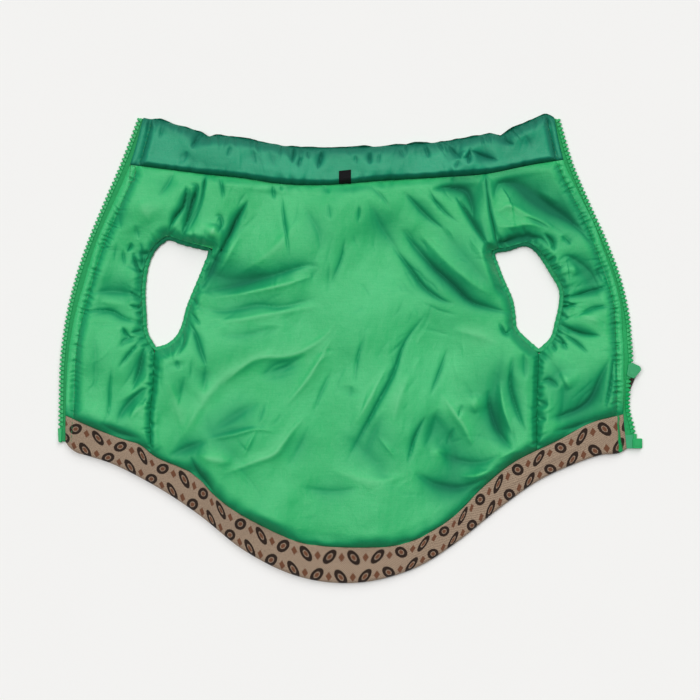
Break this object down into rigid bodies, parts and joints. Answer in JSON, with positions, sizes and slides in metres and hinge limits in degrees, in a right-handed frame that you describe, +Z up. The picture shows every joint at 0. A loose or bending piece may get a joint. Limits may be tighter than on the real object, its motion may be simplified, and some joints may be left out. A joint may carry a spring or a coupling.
{
  "type": "padded dog vest laid open flat",
  "caption": "Padded vest for a small dog, unzipped and laid open flat with its satin lining up: collar, armholes, canvas hem facing, and a moulded zip with slider and pull tab.",
  "frame": {"origin": "on the surface that the vest lies on, under the middle of its bounding box", "axes": "+X across the vest, towards the zip side with the slider; +Y from the hem towards the collar; +Z up, out of the lining"},
  "size_m": [0.4182, 0.3348, 0.0124],
  "materials": {
    "lining_satin": "bright green satin with a soft sheen",
    "collar_satin": "darker green satin with a soft sheen",
    "canvas": null,
    "zip_tape": "matte ribbed green tape",
    "zip_plastic": "green moulded plastic, softly glossy",
    "slider_paint": "green paint, satin",
    "pull_leather": "dark brown, smooth",
    "label_ribbon": "black ribbed ribbon, blank"
  },
  "bodies": {
    "vest": {"shell_back": "canvas", "shell_front_left": "canvas", "shell_front_right": "canvas", "collar_shell": "canvas", "lining_back": "lining_satin", "lining_front_left": "lining_satin", "lining_front_right": "lining_satin", "collar_lining": "collar_satin", "hem_facing": "canvas", "armhole_edge_left": "lining_satin", "armhole_edge_right": "lining_satin", "zip_tape_left": "zip_tape", "zip_tape_right": "zip_tape", "zip_chain_left": "zip_plastic", "zip_chain_right": "zip_plastic", "zip_slider": "slider_paint", "zip_box": "zip_plastic", "zip_pin": "zip_plastic", "label": "label_ribbon"},
    "pull_tab": {"zip_pull": "pull_leather"}
  },
  "joints": [
    {"name": "pull_hinge", "type": "hinge", "parent": "vest", "child": "pull_tab", "pos_m": [0.20234, -0.01477, 0.0014], "axis": [0.9063, -0.4226, 0], "range_deg": [0, 170]}
  ]
}
